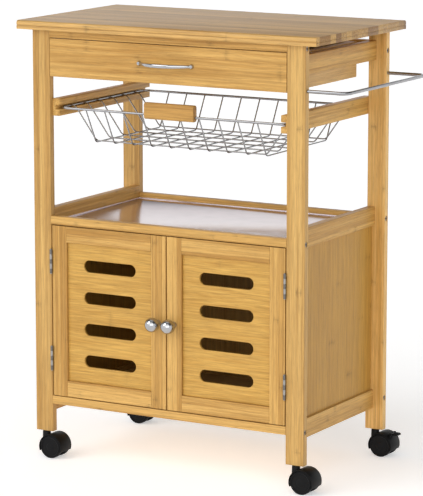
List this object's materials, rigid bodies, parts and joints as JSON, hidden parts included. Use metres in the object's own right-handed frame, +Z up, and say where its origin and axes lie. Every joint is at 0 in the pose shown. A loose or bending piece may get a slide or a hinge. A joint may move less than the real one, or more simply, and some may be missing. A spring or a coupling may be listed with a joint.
{
  "type": "rolling utility cart",
  "caption": "Bamboo kitchen cart with a worktop, drawer, sliding wire basket, metal shelf, slotted two-door cupboard, side towel rail and swivel casters",
  "frame": {"origin": "on the floor, under the middle of the cart's bounding box", "axes": "+Z up, the front with the drawer and doors faces -Y, the towel rail is on the +X side"},
  "size_m": [0.626, 0.3504, 0.76],
  "materials": {
    "bamboo": "satin lacquered bamboo",
    "bamboo_board": "satin lacquered bamboo board, strips lengthwise",
    "black_plastic": "satin black",
    "chrome": "polished plating",
    "drawer_wood": "plain light wood",
    "plywood": "satin lacquered bamboo plywood",
    "steel_sheet": "satin sheet",
    "wheel_plastic": "satin black",
    "white_plastic": "white",
    "zinc": "zinc plated"
  },
  "bodies": {
    "frame": {"back_panel": "plywood", "basket_rails": "bamboo", "bottom_cross_rails": "bamboo", "bottom_panel": "plywood", "bottom_side_rails": "bamboo", "caster_sockets": "zinc", "drawer_runners": "drawer_wood", "frame_bolts": "zinc", "frame_hinge_leaves": "zinc", "hinge_pins": "zinc", "leg_front_left": "bamboo", "leg_front_right": "bamboo", "leg_rear_left": "bamboo", "leg_rear_right": "bamboo", "magnet_catch": "white_plastic", "shelf_cross_rails": "bamboo", "shelf_ledges": "drawer_wood", "shelf_sheet": "steel_sheet", "shelf_side_rails": "bamboo", "side_panels": "plywood", "top_cross_rails": "bamboo", "top_side_rails": "bamboo", "towel_rail": "chrome", "worktop": "bamboo_board"},
    "drawer": {"drawer_back": "drawer_wood", "drawer_bottom": "drawer_wood", "drawer_front": "bamboo", "drawer_pull": "chrome", "drawer_pull_screws": "zinc", "drawer_sides": "drawer_wood"},
    "basket": {"basket_back_wires": "chrome", "basket_floor_wires": "chrome", "basket_front_wires": "chrome", "basket_grip": "bamboo", "basket_left_wires": "chrome", "basket_right_wires": "chrome", "basket_rim": "chrome"},
    "door_left": {"door_left_hinge_leaves": "zinc", "door_left_knob": "chrome", "door_left_panel": "plywood", "door_left_rails": "bamboo", "door_left_stiles": "bamboo", "door_left_strike": "zinc"},
    "door_right": {"door_right_hinge_leaves": "zinc", "door_right_knob": "chrome", "door_right_panel": "plywood", "door_right_rails": "bamboo", "door_right_stiles": "bamboo", "door_right_strike": "zinc"},
    "caster_front_left": {"caster_front_left_frame": "black_plastic"},
    "caster_front_left_wheels": {"caster_front_left_wheels": "wheel_plastic"},
    "caster_front_right": {"caster_front_right_frame": "black_plastic"},
    "caster_front_right_wheels": {"caster_front_right_wheels": "wheel_plastic"},
    "caster_rear_left": {"caster_rear_left_frame": "black_plastic"},
    "caster_rear_left_wheels": {"caster_rear_left_wheels": "wheel_plastic"},
    "caster_rear_left_brake": {"caster_rear_left_brake": "black_plastic"},
    "caster_rear_right": {"caster_rear_right_frame": "black_plastic"},
    "caster_rear_right_wheels": {"caster_rear_right_wheels": "wheel_plastic"},
    "caster_rear_right_brake": {"caster_rear_right_brake": "black_plastic"}
  },
  "joints": [
    {"name": "drawer_slide", "type": "slide", "parent": "frame", "child": "drawer", "axis": [0, -1, 0], "range_m": [0, 0.19]},
    {"name": "basket_slide", "type": "slide", "parent": "frame", "child": "basket", "axis": [0, -1, 0], "range_m": [0, 0.2]},
    {"name": "door_left_hinge", "type": "hinge", "parent": "frame", "child": "door_left", "pos_m": [-0.253, -0.14435, 0.2605], "axis": [0, 0, -1], "range_deg": [0, 175]},
    {"name": "door_right_hinge", "type": "hinge", "parent": "frame", "child": "door_right", "pos_m": [0.203, -0.14435, 0.2605], "axis": [0, 0, 1], "range_deg": [0, 175]},
    {"name": "caster_front_left_swivel", "type": "hinge", "parent": "frame", "child": "caster_front_left", "pos_m": [-0.271, -0.13525, 0.04], "axis": [0, 0, 1], "continuous": true},
    {"name": "caster_front_left_spin", "type": "hinge", "parent": "caster_front_left", "child": "caster_front_left_wheels", "pos_m": [-0.254, -0.13525, 0.02], "axis": [0, 1, 0], "continuous": true},
    {"name": "caster_front_right_swivel", "type": "hinge", "parent": "frame", "child": "caster_front_right", "pos_m": [0.221, -0.13525, 0.04], "axis": [0, 0, 1], "continuous": true},
    {"name": "caster_front_right_spin", "type": "hinge", "parent": "caster_front_right", "child": "caster_front_right_wheels", "pos_m": [0.238, -0.13525, 0.02], "axis": [0, 1, 0], "continuous": true},
    {"name": "caster_rear_left_swivel", "type": "hinge", "parent": "frame", "child": "caster_rear_left", "pos_m": [-0.271, 0.15775, 0.04], "axis": [0, 0, 1], "continuous": true},
    {"name": "caster_rear_left_spin", "type": "hinge", "parent": "caster_rear_left", "child": "caster_rear_left_wheels", "pos_m": [-0.254, 0.15775, 0.02], "axis": [0, 1, 0], "continuous": true},
    {"name": "caster_rear_left_brake_tip", "type": "hinge", "parent": "caster_rear_left", "child": "caster_rear_left_brake", "pos_m": [-0.2375, 0.15775, 0.0405], "axis": [0, 1, 0], "range_deg": [0, 18]},
    {"name": "caster_rear_right_swivel", "type": "hinge", "parent": "frame", "child": "caster_rear_right", "pos_m": [0.221, 0.15775, 0.04], "axis": [0, 0, 1], "continuous": true},
    {"name": "caster_rear_right_spin", "type": "hinge", "parent": "caster_rear_right", "child": "caster_rear_right_wheels", "pos_m": [0.238, 0.15775, 0.02], "axis": [0, 1, 0], "continuous": true},
    {"name": "caster_rear_right_brake_tip", "type": "hinge", "parent": "caster_rear_right", "child": "caster_rear_right_brake", "pos_m": [0.2545, 0.15775, 0.0405], "axis": [0, 1, 0], "range_deg": [0, 18]}
  ]
}
